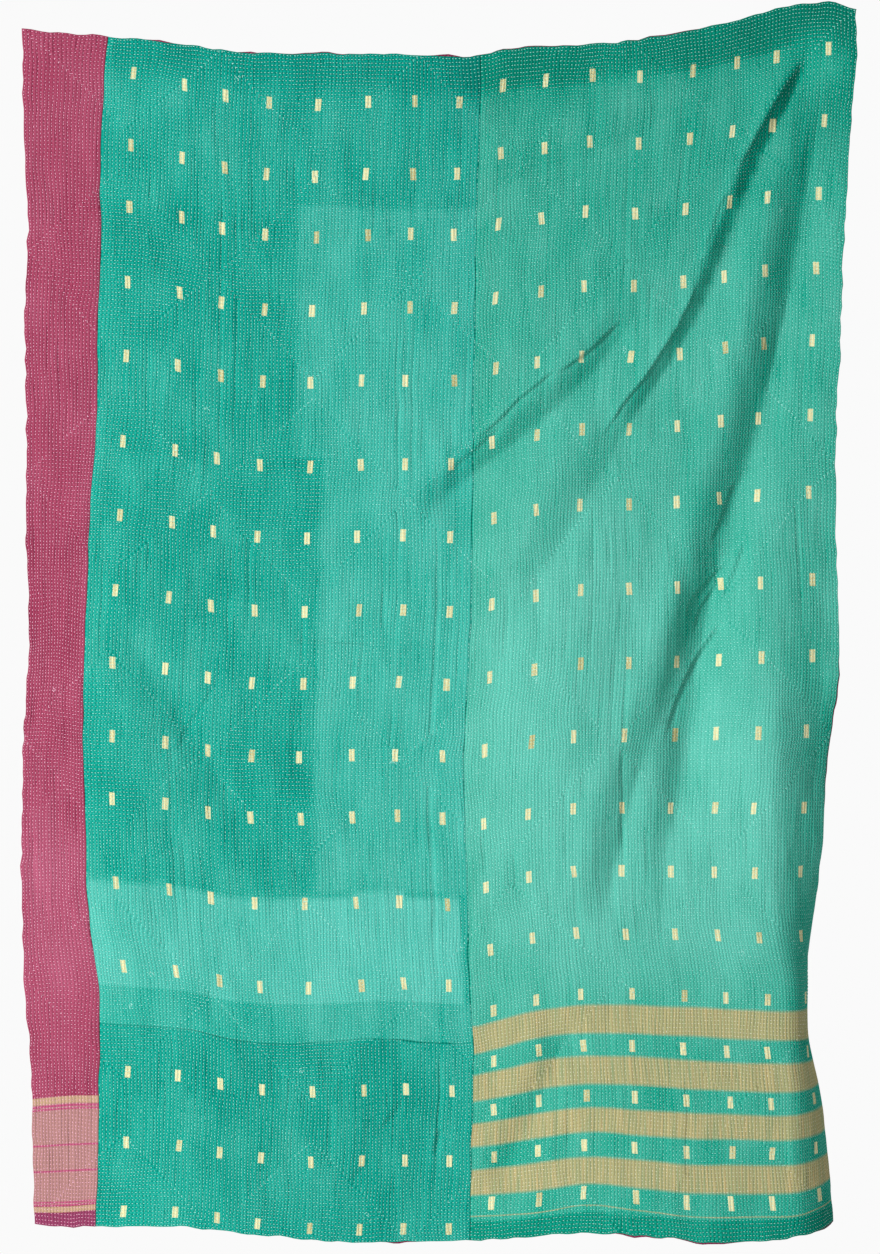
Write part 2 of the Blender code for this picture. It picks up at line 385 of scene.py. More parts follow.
def pleating(u, v):
    """The long narrow pleats that run down the cloth."""
    depth = np.zeros(u.shape)
    for pleat in PLEATS:
        near = (v > pleat.start) & (v < pleat.end) & (np.abs(u - pleat.u) < 30)
        share = (v[near] - pleat.start) / (pleat.end - pleat.start)
        aside = u[near] - pleat.u - pleat.lean * (share - 0.5)
        ends = eased(4 * share) * eased(4 * (1 - share))
        depth[near] += pleat.depth * ends * np.exp(-((aside / pleat.width) ** 2))
    return depth


def pinch(u, v):
    """How far a row of stitches pulls the surface in, in mm."""
    depth = 0.95 + 0.25 * waves(u, v, 40, 150, 3) + 0.15 * waves(u, v, 130, 60, 4)
    return depth * eased(1 - np.abs(rows_in(u, v) % 1 - 0.5) * ROW / GROOVE)


def drift(u, v):
    """How far all the layers stand behind the smooth sheet: pleats and slow unevenness."""
    return pleating(u, v) + 0.7 * waves(u, v, 75, 140, 5) + 0.35 * waves(u, v, 24, 90, 6)


def sewn_in(u, v):
    """How the face cloths dip into their seams and round over at the quilt's edge."""
    depth = rounding(u, v)
    beside_patch = np.where((u > SIDE_SEAM) & (u < CENTRE_SEAM), np.abs(v - PATCH_SEAM), 1e3)
    for seam, strength in (
        (np.abs(u - SIDE_SEAM), 0.5), (np.abs(u - CENTRE_SEAM), 0.25), (beside_patch, 1.0),
    ):
        depth += strength * np.exp(-((seam / 2.2) ** 2))
        depth -= 0.5 * strength * np.exp(-(((seam - 6) / 4) ** 2))
    return depth


print(f"{len(PLEATS)} pleats; rows {ROW} mm apart, stitches {STITCH} mm apart")

# %% [markdown]
# Sharp creases are too fine for the CAD, and they are placed here on the flat cloth. They
# run where the heavy fold on the right side is pinched, and there are a few light ones elsewhere.
# A crease has the same form as a fold, only a few millimetres wide, so the same function makes it.

# %% Sharp creases
CREASES = (
    Fold(((1432, -90), (1412, -122), (1382, -158), (1356, -202), (1328, -250), (1300, -300)), 4.0, 5, 24),
    Fold(((1304, -302), (1286, -328), (1272, -370), (1254, -405)), 3.0, 4, 14),
    Fold(((1255, -448), (1234, -492), (1211, -534), (1186, -568), (1156, -607), (1121, -648),
          (1092, -686), (1060, -726)), 4.5, 3.5, 14),
    Fold(((1106, -508), (1068, -536), (1040, -558), (1012, -577), (968, -601)), 4.5, 3.5, 12),
    Fold(((984, -583), (946, -610), (908, -635), (876, -660), (850, -676), (824, -690)), 4.5, 3.5, 12),
    Fold(((880, -672), (846, -694), (806, -722), (766, -762)), 2.6, 5, 9),
    Fold(((1352, -918), (1322, -985), (1300, -1030)), 3.5, 3.5, 10),
    Fold(((1304, -1058), (1268, -1112), (1225, -1185), (1202, -1268)), 5.0, 3.5, 12),
    Fold(((1336, -812), (1308, -870), (1280, -930)), 3.0, 4, 10),
    Fold(((1322, -954), (1282, -984), (1242, -1030), (1238, -1056)), 3.0, 3.5, 9),
    Fold(((1294, -972), (1288, -1004), (1264, -1040), (1244, -1094)), 3.0, 3.5, 9),
    Fold(((498, -1052), (548, -1050), (594, -1055), (680, -1058)), 2.8, 3, 5),
    Fold(((658, -960), (660, -996), (662, -1036)), 2.0, 2.5, 4),
    Fold(((602, -1040), (630, -1042), (658, -1040)), 1.6, 2.5, 4),
    Fold(((686, -1874), (676, -1898), (660, -1922), (632, -1944)), 2.8, 6, 14),
    Fold(((668, -1916), (646, -1920), (620, -1912)), 1.8, 5, 9),
    Fold(((762, -1928), (754, -1958), (750, -1984)), 2.4, 5, 10),
    Fold(((634, -1986), (612, -2006), (594, -2028)), 1.8, 6, 12),
    Fold(((584, -1098), (676, -1086), (728, -1062), (812, -1050)), 2.2, 3.5, 6),
    Fold(((376, -1106), (330, -1200), (286, -1294)), 1.4, 4, 7),
    Fold(((590, -516), (625, -512), (662, -515)), 2.0, 3.5, 6),
    Fold(((600, -250), (622, -248), (645, -250)), 1.6, 3.5, 6),
)


def creasing(u, v):
    return sum(trough(crease, u, -v) for crease in CREASES)


def near_a_crease(u, v, reach=14.0):
    near = np.zeros(u.shape, bool)
    for crease in CREASES:
        ends = np.array(crease.path, float)
        for a, b in zip(ends[:-1], ends[1:]):
            run = b - a
            t = np.clip(((u - a[0]) * run[0] + (-v - a[1]) * run[1]) / (run @ run), 0, 1)
            near |= np.hypot(u - a[0] - t * run[0], -v - a[1] - t * run[1]) < reach
    return near


print(len(CREASES), "creases, the deepest", max(crease.depth for crease in CREASES), "mm")

# %% [markdown]
# ## The quilted top, flat
# The mesh has to have its edges where the grooves and ridges are, or the quilting turns to noise. So
# it is made the way the rows were sewn: a block starts as one rectangle, and Inset Region draws the
# rows into it one inside the other, three lines to a row: a shoulder, the groove and a shoulder.
# Bisect cuts then divide the long strips into cells. They are laid on the groove lines of the other
# direction, so that they add no slivers there. A plain grid would need four times as many faces.

# %% Make the blocks and join them
MIDDLE_STRIP = 0.8  # half the strip that the innermost lines leave
ROWS_IN_CELL = 2


def everything(cut):
    return cut.verts[:] + cut.edges[:] + cut.faces[:]


def block_lines(room, places_in_row):
    """Distances from a block's side at which its mesh has a line."""
    rows = np.arange(round(room / ROW))
    lines = fitted(room) * (rows[:, None] + np.array(places_in_row)).ravel()
    last = room - MIDDLE_STRIP
    lines = lines[(lines > 0) & (lines < last)]
    return np.append(lines, last) if room - lines[-1] > 2 else lines


def quilted_sheet(places_in_row):
    """The whole quilt flat, in blocks of nested rows, with a mesh line at these places in a row."""
    sheet = bmesh.new()
    part = bpy.data.meshes.new("block")
    for u0, u1, v0, v1 in blocks():
        block = bmesh.new()
        bmesh.ops.create_grid(block, x_segments=1, y_segments=1, size=0.5)
        bmesh.ops.scale(block, vec=(u1 - u0, v1 - v0, 1), verts=block.verts[:])
        bmesh.ops.translate(block, vec=((u0 + u1) / 2, (v0 + v1) / 2, 0), verts=block.verts[:])
        middle, drawn = block.faces[:], 0.0
        room = min(u1 - u0, v1 - v0) / 2
        row = fitted(room)
        for line in block_lines(room, places_in_row):
            bmesh.ops.inset_region(
                block, faces=middle, thickness=line - drawn, use_boundary=True, use_even_offset=True
            )
            drawn = line
        for low, high, normal in ((u0, u1, (1, 0, 0)), (v0, v1, (0, 1, 0))):
            for away in np.arange(row / 2, (high - low) / 2 - 1, ROWS_IN_CELL * row):
                for place in (low + away, high - away):
                    bmesh.ops.bisect_plane(
                        block, geom=everything(block), dist=0.05,
                        plane_co=[place * share for share in normal], plane_no=normal,
                    )
        block.to_mesh(part)
        block.free()
        sheet.from_mesh(part)
    bpy.data.meshes.remove(part)
    bmesh.ops.remove_doubles(sheet, verts=sheet.verts[:], dist=0.05)
    return sheet


quilt_top = quilted_sheet((0.5 - GROOVE / ROW, 0.5, 0.5 + GROOVE / ROW))
print(len(quilt_top.faces), "cells in the quilt top")

# %% [markdown]
# ## Cutting a cloth from the sheet and hanging it
# Each face cloth is a copy of the flat sheet, trimmed along its seams by Bisect cuts. Its border is
# extruded back, as a seam allowance is turned under, so the sheet shows a real edge. Cells near a
# sharp crease are subdivided. Then every point goes to its place on the hanging sheet, with the
# relief of the sewing. The flat places stay on the mesh as three maps: Weave carries the woven
# patterns in metres, Sewing counts stitches and rows, and OFBake spreads the cloth over one square.

# %% Cut, turn under and hang
Peep = namedtuple("Peep", "edge at half_length amount")
PEEPS = (  # where the backing shows past the face
    Peep("top", 226, 16, 3.4), Peep("top", 392, 12, 3.6), Peep("top", 520, 60, 1.8),
    Peep("top", 757, 18, 4.2), Peep("top", 905, 90, 1.6), Peep("top", 1170, 60, 1.8),
    Peep("bottom", 690, 22, 3.4), Peep("bottom", 1120, 34, 3.4), Peep("bottom", 1250, 50, 3.0),
    Peep("bottom", 1500, 30, 3.0), Peep("right", 1210, 70, 2.6), Peep("right", 1330, 50, 2.2),
    Peep("right", 1880, 50, 2.8),
)
PEEP_REACH = 14  # how far inside its edge the backing is stretched for it


def peeping(edge, along, inside):
    """How far the backing is pushed out, by the distance inside its edge."""
    out = sum(
        peep.amount * np.exp(-(((along - peep.at) / peep.half_length) ** 2))
        for peep in PEEPS if peep.edge == edge
    )
    return out * eased(1 - inside / PEEP_REACH)


HALF_GAP = 0.15  # half of what parts two neighbouring cloths
TURNED_UNDER = 1.6  # how far back the border of a face cloth goes
SHOULDER = 2.4  # from a cloth's edge to an extra line of its mesh, where it starts to round over
LONG_EDGE = 5  # an edge longer than this is divided near a crease
SAG_LEFT = (  # how far a weft sags at some places across the left panel
    (128, -18), (180, -17), (272, -9), (350, -1), (430, 7), (522, 12), (614, 5), (696, 0), (776, 0),
    (818, 0),
)
SAG_RIGHT = (
    (818, -5), (858, -8), (940, -11), (1026, -13), (1118, -2), (1214, 4), (1298, 6), (1374, 10),
    (1474, 13), (1524, 12),
)


def woven_place(u, v):
    """Places in the cloth as it was woven: its wefts sag a little, most of all near the top."""
    left, right = (through(u, *np.array(table, float).T) for table in (SAG_LEFT, SAG_RIGHT))
    sag = np.select([u < SIDE_SEAM, u < CENTRE_SEAM], [0 * u, left], right)
    return u, v - sag * (0.2 + 0.8 * np.exp(-((v / 700) ** 2)))


Tone = namedtuple("Tone", "u0 u1 v0 v1 soft amount")
TONES = (  # where the colour has gone, or held its strength; at the right panel's top edge, painted shade
    Tone(128, 818, -99, 1770, 1, 0.31),
    Tone(818, 1600, -99, 2300, 1, 0.46),
    Tone(128, 818, 1770, 2300, 1, 0.28),
    Tone(492, 818, 272, 722, 10, 0.20),
    Tone(545, 818, 722, 1500, 18, 0.22),
    Tone(216, 492, 296, 742, 8, -0.04),
    Tone(190, 336, 745, 1500, 30, 0.06),
    Tone(128, 760, 1700, 1770, 3, 0.14),
    Tone(128, 803, 1508, 1700, 3, 0.38),
    Tone(511, 803, 1508, 1770, 6, 0.10),
    # painted shade: the next two rows darken the right panel along its top edge and at its top right
    # corner; the third darkens the left panel along its top edge
    Tone(818, 1600, -99, 60, 130, -0.40),
    Tone(1360, 1600, -99, 260, 160, -0.16),
    Tone(128, 818, -99, 60, 60, -0.16),
    Tone(818, 1600, 460, 1780, 440, 0.15),
    Tone(818, 1180, 860, 1700, 300, 0.30),
    Tone(1200, 1480, 1180, 1700, 200, 0.26),
    Tone(1490, 1600, 1000, 2300, 20, 0.02),
    Tone(818, 1600, 2098, 2300, 6, -0.30),
    Tone(762, 818, 700, 1700, 6, -0.12),
    Tone(-99, 128, -99, 2300, 1, 0.38),
    Tone(-99, 128, 2060, 2300, 16, -0.30),
    Tone(-99, 128, 860, 1130, 120, -0.12),
    Tone(-99, 128, 1420, 1760, 120, 0.20),
)


def paleness_and_top_shade(u, v):
    """How pale the cloth is: 0 is still deep, 1 is pale. Painted shade darkens the right panel's top."""
    total = np.zeros(u.shape)
    for tone in TONES:
        across = eased((u - tone.u0) / tone.soft + 0.5) * eased((tone.u1 - u) / tone.soft + 0.5)
        down = eased((v - tone.v0) / tone.soft + 0.5) * eased((tone.v1 - v) / tone.soft + 0.5)
        total += tone.amount * across * down
    return total + 0.05 * waves(u, v, 300, 400, 21) + 0.05 * waves(u, v, 90, 160, 22)


def boundary(cut):
    return [edge for edge in cut.edges if edge.is_boundary]


def cut_out(sheet, u0, u1, v0, v1, turn_under):
    """A copy of the sheet trimmed to these sides, with its border turned under."""
    cut = sheet.copy()
    sides = (
        ((u0, 0, 0), (-1, 0, 0)), ((u1, 0, 0), (1, 0, 0)),
        ((0, v0, 0), (0, -1, 0)), ((0, v1, 0), (0, 1, 0)),
    )
    for place, out in sides:
        bmesh.ops.bisect_plane(
            cut, geom=everything(cut), dist=0.02, plane_co=place, plane_no=out, clear_outer=True
        )
        shoulder = [at - SHOULDER * way for at, way in zip(place, out)]
        bmesh.ops.bisect_plane(
            cut, geom=everything(cut), dist=0.3, plane_co=shoulder, plane_no=out
        )
    ends = np.array([[end.co[:2] for end in edge.verts] for edge in cut.edges])
    middle = ends.mean(axis=1)
    is_long = np.linalg.norm(ends[:, 0] - ends[:, 1], axis=1) > LONG_EDGE
    divided = is_long & near_a_crease(middle[:, 0], middle[:, 1])
    to_divide = [edge for edge, chosen in zip(cut.edges[:], divided) if chosen]
    if to_divide:
        bmesh.ops.subdivide_edges(cut, edges=to_divide, cuts=3, use_grid_fill=True)
    border = bmesh.ops.extrude_edge_only(cut, edges=boundary(cut))["geom"]
    rim = [part for part in border if isinstance(part, bmesh.types.BMVert)]
    bmesh.ops.translate(cut, verts=rim, vec=(0, 0, turn_under))
    bmesh.ops.recalc_face_normals(cut, faces=cut.faces[:])
    return cut


def values_of(items, field, size=1, kind=np.float32):
    """One field of a mesh's points, corners or faces, as an array."""
    values = np.zeros(len(items) * size, kind)
    items.foreach_get(field, values)
    return values.reshape(-1, size) if size > 1 else values


def corner_points(mesh):
    return values_of(mesh.loops, "vertex_index", kind=np.int32)


def on_corners(mesh, name, places):
    """Stores a map: one place for each corner of each face."""
    mesh.uv_layers.new(name=name).uv.foreach_set("vector", places.astype(np.float32).ravel())


def sewing_places(mesh, u, v):
    """At each face corner, the count of stitches along its row and of rows from the block's side."""
    points = corner_points(mesh)
    corners = values_of(mesh.polygons, "loop_total", kind=np.int32)
    owner = np.repeat(np.arange(len(corners)), corners)
    middle_u, middle_v = ((np.bincount(owner, at[points]) / corners)[owner] for at in (u, v))
    runs_across = in_block(middle_v, BLOCKS_DOWN)[0] < in_block(middle_u, BLOCKS_ACROSS)[0]
    along = np.where(runs_across, u[points], v[points]) + lag(u, v)[points]
    return np.stack([along / STITCH, rows_in(u, v)[points]], axis=-1)


def on_points(mesh, name, values):
    mesh.attributes.new(name, "FLOAT", "POINT").data.foreach_set("value", values.astype(np.float32))


BAKE_MARGIN = 4.0


def square_scale(sides):
    """How much of the unit square of a cloth's OFBake map one millimetre takes."""
    u0, u1, v0, v1 = sides
    return 1 / (u1 - u0 + 2 * BAKE_MARGIN), 1 / (v1 - v0 + 2 * BAKE_MARGIN)


def square_place(u, v, sides):
    """A flat place as a place in that unit square."""
    per_u, per_v = square_scale(sides)
    u0, _, v0, _ = sides
    return np.stack([(u - u0 + BAKE_MARGIN) * per_u, 1 - (v - v0 + BAKE_MARGIN) * per_v], axis=-1)


def in_scene(name, data):
    """An object of this data, linked to the scene."""
    made = bpy.data.objects.new(name, data)
    bpy.context.scene.collection.objects.link(made)
    return made


SHADED_WAY = (0.85, 0, -0.53)  # the way a side painted with shade faces: to the right and down, away from the key lamp
FOLD_SHADE_PAINTED = 0.16  # how much painted shade goes there, and twice that near the top
MOST_FADED, BACK_FADED = 0.92, 0.22
BORDER_MAPPED = 1.5  # how far outside the cloth's edge the turned border lies on the maps


def hang_cloth(name, sheet, sides, finish, on_the_back=False):
    """Cuts one cloth from the sheet, hangs it and stores its maps. The back's relief is its own."""
    u0, u1, v0, v1 = sides
    cut = cut_out(sheet, u0, u1, v0, v1, -BACK_THICKNESS if on_the_back else TURNED_UNDER)
    mesh = bpy.data.meshes.new(name)
    cut.to_mesh(mesh)
    cut.free()
    u, v, turned = values_of(mesh.vertices, "co", 3).astype(float).T
    worn_u, worn_v = wandered(u, v)
    if on_the_back:
        worn_u = worn_u + peeping("right", v, WIDTH - u)
        worn_v = worn_v - peeping("top", u, v) + peeping("bottom", u, LENGTH - v)
        behind = BACK_BEHIND + BACK_THICKNESS + turned + drift(u, v) - 0.5 * rounding(u, v)
    else:
        behind = turned + drift(u, v) + pinch(u, v) + sewn_in(u, v)
    place, across, down, inwards = lie_of_the_cloth(worn_u, worn_v)
    hung = (place + inwards * (behind + creasing(u, v))[:, None]) * MM
    mesh.vertices.foreach_set("co", hung.astype(np.float32).ravel())

    # on the maps, the turned border takes a thin strip outside the cloth's own place
    folded = BORDER_MAPPED * (np.abs(turned) > 0.01)
    out_u = folded * ((u > u1 - 0.05) * 1.0 - (u < u0 + 0.05))
    out_v = folded * ((v > v1 - 0.05) * 1.0 - (v < v0 + 0.05))
    woven = np.stack(woven_place(worn_u + out_u, worn_v + out_v), axis=-1)
    points = corner_points(mesh)
    on_corners(mesh, "Weave", woven[points] * MM)
    on_corners(mesh, "OFBake", square_place(u + out_u, v + out_v, sides)[points])
    on_corners(mesh, "Sewing", sewing_places(mesh, u, v))

    # painted shade: the sides of the folds that face away from the key lamp are painted darker
    turned_from_lamp = np.clip(-inwards @ np.array(SHADED_WAY) / 0.5, 0, 1)
    painted_shade = FOLD_SHADE_PAINTED * (1 + eased(1.6 - v / 300))
    fade_and_shade = np.minimum(paleness_and_top_shade(worn_u, worn_v), MOST_FADED) - painted_shade * turned_from_lamp
    on_points(mesh, "fade_and_shade", np.full(u.shape, BACK_FADED) if on_the_back else fade_and_shade)

    mesh.update()
    facing_back = values_of(mesh.polygons, "normal", 3)[:, 1].sum() > 0
    if facing_back != on_the_back:
        mesh.flip_normals()
    mesh.shade_smooth()
    mesh.materials.append(finish)
    piece = in_scene(name, mesh)
    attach(piece, "root")
    mesh.calc_loop_triangles()
    print(name, "has", len(mesh.loop_triangles), "triangles")
    return piece


# %% [markdown]
# ## Nodes and colours
# A few helpers do for all the materials. The first adds a node, sets it and links it. The others
# start a material and give its shader the values that are the same all over, give a ramp its stops,
# add shares of several patterns to one value, lay colours over one another, and turn a colour as it
# looks on a screen into the light that Blender reckons in.

# %% Helpers for materials
def add(tree, kind, settings=None, inputs=None):
    """Adds a node with its settings; an input is a number or colour, or a socket to link."""
    made = tree.nodes.new(kind)
    for name, value in (settings or {}).items():
        setattr(made, name, value)
    for name, value in (inputs or {}).items():
        if isinstance(value, bpy.types.NodeSocket):
            tree.links.new(value, made.inputs[name])
        else:
            made.inputs[name].default_value = value
    return made


def new_material(name, even):
    """A material and its tree and shader. The even values are set on the shader's own sockets."""
    material = bpy.data.materials.new(name)
    material.use_nodes = True
    shader = material.node_tree.nodes["Principled BSDF"]
    for socket, value in even.items():
        shader.inputs[socket].default_value = value
    return material, material.node_tree, shader


def set_stops(ramp, stops):
    """Gives a ramp its stops: places from 0 to 1, in order, and their colours."""
    steps = ramp.color_ramp.elements
    steps.remove(steps[1])
    for i, (place, colour) in enumerate(stops):
        step = steps.new(place) if i else steps[0]
        step.position, step.color = place, colour


def with_shares(tree, value, parts):
    """Adds to a value its share of each part."""
    for part, share in parts:
        value = add(tree, "ShaderNodeMath", {"operation": "MULTIPLY_ADD"}, {
            0: part, 1: share, 2: value,
        }).outputs[0]
    return value


def laid_over(tree, colour, layers):
    """Lays other colours over this one, each where its mask is 1."""
    for mask, shade in layers:
        colour = add(tree, "ShaderNodeMix", {"data_type": "RGBA"}, {
            0: mask, 6: colour, 7: shade,
        }).outputs[2]
    return colour


def linear(hex_colour):
    """The linear light of a colour that is given as it looks on a screen."""
    parts = [int(hex_colour[at : at + 2], 16) / 255 for at in (1, 3, 5)]
    return (*[((p + 0.055) / 1.055) ** 2.4 if p > 0.04045 else p / 12.92 for p in parts], 1)


print("a raspberry red in linear light:", np.round(linear("#B4556E")[:3], 3))

# %% [markdown]
# ## Woven figures
# The green saris have small figures woven in extra cotton yarn, in straight rows, and the right hand
# one ends in tan bands. Both follow the weave, so they are drawn on the Weave map: a ramp marks the
# columns, another the rows, and a figure shows where both are marked. A ramp holds 32 stops, so the
# rows take two. A slow noise bends the coordinates first, so that no two figures lean alike.

# %% Where the figures and bands are
FIGURE_WIDTH, FIGURE_LENGTH = 9.9, 21.6  # mm
COLUMNS_LEFT = (180, 274, 350, 430, 521, 614, 695, 777)
COLUMNS_RIGHT = (858, 941, 1027, 1120, 1216, 1298, 1374, 1472)
ROWS_LEFT = (79, 206, 317, 451, 580, 729, 861, 992, 1123, 1256, 1367, 1520, 1668)
ROWS_PATCH = (1858, 1987, 2111)
ROWS_RIGHT = (
    66, 188, 317, 448, 575, 706, 839, 993, 1124,
    1256, 1388, 1500, 1611, 1722, 1813, 1898, 1983, 2067,
)
ROWS_IN_RAMP = 9
MARGIN = 20  # unmarked cloth before the first range of a ramp and after its last
BANDS_RIGHT = ((1743, 1793), (1833, 1880), (1921, 1963), (2006, 2053), (2090.4, 2092.4))


def around(middles, size):
    return [(middle - size / 2, middle + size / 2) for middle in middles]


def marked(tree, along, ranges, soft=0.0):
    """1 where `along`, in metres, is in one of the ranges, given in mm and in order."""
    first, last = ranges[0][0] - MARGIN, ranges[-1][1] + MARGIN
    share = add(tree, "ShaderNodeMapRange", None, {
        "Value": along, "From Min": first * MM, "From Max": last * MM,
    })
    ramp = add(tree, "ShaderNodeValToRGB", None, {"Fac": share.outputs[0]})
    ramp.color_ramp.interpolation = "LINEAR" if soft else "CONSTANT"
    half = soft / 2
    stops = [(first, 0)]
    for start, end in ranges:
        if soft:
            stops += [(start - half, 0), (start + half, 1), (end - half, 1), (end + half, 0)]
        else:
            stops += [(start, 1), (end, 0)]
    set_stops(ramp, [((at - first) / (last - first), (on, on, on, 1)) for at, on in stops])
    return ramp.outputs["Color"]


spacing = (COLUMNS_LEFT[-1] - COLUMNS_LEFT[0]) / (len(COLUMNS_LEFT) - 1)
print(len(COLUMNS_LEFT), "columns of figures in each panel, every", round(spacing), "mm or so")

# %% [markdown]
# ## The dyed cotton
# Every cloth here is the same stuff: thin hand-dyed cotton muslin, washed for years, so it is quite
# matt. Its colour isn't flat. The ridges between the rows are rubbed paler than the grooves, the
# colour is streaked along the warp, and whole areas have gone pale. Shade is painted in as well:
# darker at the dimple of each stitch, along the fine pleats, on the sides of the big folds that face
# away from the key lamp, and along the right panel's top edge. One function makes the stuff from
# three colours: deep where the colour is whole, middle, and pale where it has gone. The yarns are
# 0.4 mm apart, too fine to show, so the weave in the bump is drawn at 1.1 mm.

# %% Sari cotton
YARN = 1.1  # mm between the drawn yarns
STREAK = (260, 9, 1)  # streaks to a metre across and down the cloth
LINE = (85, 3.2, 1)  # fine pleats, the same way
LINE_WIDTH = 0.022  # how far the noise may be from its middle value inside such a pleat
MATT_COTTON = {"Roughness": 0.88, "Metallic": 0.0, "Specular IOR Level": 0.04}


def sari_cotton(name, deep, middle, pale, figure=None, is_back=False):
    material, tree, shader = new_material(name, MATT_COTTON)
    weave, sewing = (
        add(tree, "ShaderNodeUVMap", {"uv_map": map_name}).outputs[0]
        for map_name in ("Weave", "Sewing")
    )
    # the attribute carries fading and painted shade: the sides of the folds turned from the key lamp, and
    # the right panel's top edge
    fade_and_shade = add(tree, "ShaderNodeAttribute", {"attribute_name": "fade_and_shade"}).outputs["Fac"]

    # waves that rise and fall with each stitch along a row, and with each row
    turns = add(tree, "ShaderNodeVectorMath", {"operation": "SCALE"}, {0: sewing, "Scale": 2 * math.pi})
    split = add(tree, "ShaderNodeSeparateXYZ", None, {0: turns.outputs[0]})
    puckers, ridges = (
        add(tree, "ShaderNodeMath", {"operation": "COSINE"}, {0: split.outputs[axis]}).outputs[0]
        for axis in (0, 1)
    )

    # streaks along the warp, a fine mottle, cloudy patches, long lines and the yarns
    streaked, lined = (
        add(tree, "ShaderNodeMapping", None, {"Vector": weave, "Scale": scale}).outputs[0]
        for scale in (STREAK, LINE)
    )
    streaks, mottle, clouds, lines, yarns = (
        add(tree, "ShaderNodeTexNoise", None, {
            "Vector": place, "Scale": scale, "Detail": detail, "Roughness": roughness,
        }).outputs["Fac"]
        for place, scale, detail, roughness in (
            (streaked, 1, 3, 0.6), (weave, 420, 2, 0.6), (weave, 16, 4, 0.55), (lined, 1, 1, 0.5),
            (weave, 1000 / YARN, 1, 0.5),
        )
    )
    # a fine pleat runs wherever the noise of the long lines crosses its middle value
    for operation, number in (("SUBTRACT", 0.5), ("ABSOLUTE", 0.0), ("DIVIDE", LINE_WIDTH)):
        lines = add(tree, "ShaderNodeMath", {"operation": operation}, {0: lines, 1: number}).outputs[0]
    pleats = add(tree, "ShaderNodeMath", {"operation": "SUBTRACT", "use_clamp": True}, {
        0: 1.0, 1: lines,
    }).outputs[0]

    noises = ((streaks, 0.20), (mottle, 0.46), (clouds, 0.18))
    level = add(tree, "ShaderNodeMath", {"operation": "SUBTRACT"}, {
        0: fade_and_shade, 1: sum(share for _, share in noises) / 2,
    }).outputs[0]
    # painted shade: the puckers share darkens the colour at the dimple of each stitch, and the pleats
    # share does so along the fine pleats
    dye_and_shade = with_shares(tree, level, (*noises, (ridges, 0.13), (puckers, -0.08), (pleats, -0.16)))
    ramp = add(tree, "ShaderNodeValToRGB", None, {"Fac": dye_and_shade})
    set_stops(ramp, ((0, linear(deep)), (0.3, linear(middle)), (1, linear(pale))))
    colour = ramp.outputs["Color"]
    if figure:
        colour = figure(tree, weave, colour, streaks, mottle)
    if is_back:
        colour = far_ends(tree, puckers, ridges, colour)
    tree.links.new(colour, shader.inputs["Base Color"])

    surface = with_shares(tree, 0.0, (
        (streaks, 0.45), (yarns, 0.3), (puckers, -0.35), (pleats, -0.35),
        (ridges, 0.45 if is_back else 0.1),
    ))
    bump = add(tree, "ShaderNodeBump", None, {
        "Height": surface, "Strength": 0.7, "Distance": 0.0014,
    })
    tree.links.new(bump.outputs[0], shader.inputs["Normal"])
    return material


def far_ends(tree, puckers, ridges, colour):
    """The stitches as the back shows them: dashes where the thread isn't on the face."""
    between, in_row = (
        add(tree, "ShaderNodeMath", {"operation": "LESS_THAN"}, {0: part, 1: limit}).outputs[0]
        for part, limit in ((puckers, -0.2), (ridges, -0.72))
    )
    thread = add(tree, "ShaderNodeMath", {"operation": "MULTIPLY"}, {0: between, 1: in_row})
    return laid_over(tree, colour, ((thread.outputs[0], linear("#B48A97")),))


def with_figures(columns, rows, bands=()):
    """Returns what paints the woven figures, and the bands, over a cloth's colour."""

    def paint(tree, weave, colour, streaks, mottle):
        # the yarns lean a few millimetres, and the edges of a figure are ragged
        bend = add(tree, "ShaderNodeTexNoise", None, {"Vector": weave, "Scale": 11.0, "Detail": 0.0})
        place = add(tree, "ShaderNodeVectorMath", {"operation": "SUBTRACT"}, {
            0: bend.outputs["Color"], 1: (0.5, 0.5, 0.5),
        }).outputs[0]
        place = add(tree, "ShaderNodeVectorMath", {"operation": "MULTIPLY_ADD"}, {
            0: place, 1: (0.014, 0.006, 0), 2: weave,
        }).outputs[0]
        place = add(tree, "ShaderNodeVectorMath", {"operation": "MULTIPLY_ADD"}, {
            0: mottle, 1: (0.0016, 0.0010, 0), 2: place,
        }).outputs[0]
        across, down = add(tree, "ShaderNodeSeparateXYZ", None, {"Vector": place}).outputs[:2]
        if bands:
            tan = add(tree, "ShaderNodeValToRGB", None, {"Fac": streaks})
            set_stops(tan, ((0.28, linear("#7D8E68")), (0.72, linear("#AC9B6D"))))
            broad = marked(tree, down, bands[:-1], soft=6)
            band = with_shares(tree, broad, ((marked(tree, down, bands[-1:], soft=1.4), 0.7),))
            colour = laid_over(tree, colour, ((band, tan.outputs[0]),))
        in_column = marked(tree, across, around(columns, FIGURE_WIDTH))
        in_row = with_shares(tree, 0.0, [
            (marked(tree, down, around(part, FIGURE_LENGTH)), 1.0)
            for part in (rows[:ROWS_IN_RAMP], rows[ROWS_IN_RAMP:]) if part
        ])
        shown = add(tree, "ShaderNodeMath", {"operation": "MULTIPLY"}, {0: in_column, 1: in_row})
        worn = with_shares(tree, mottle, ((bend.outputs["Fac"], 0.8),))
        yarn = add(tree, "ShaderNodeValToRGB", None, {"Fac": worn})
        set_stops(yarn, ((0.62, linear("#9C9868")), (0.95, linear("#C8C69A"))))
        return laid_over(tree, colour, ((shown.outputs[0], yarn.outputs[0]),))

    return paint


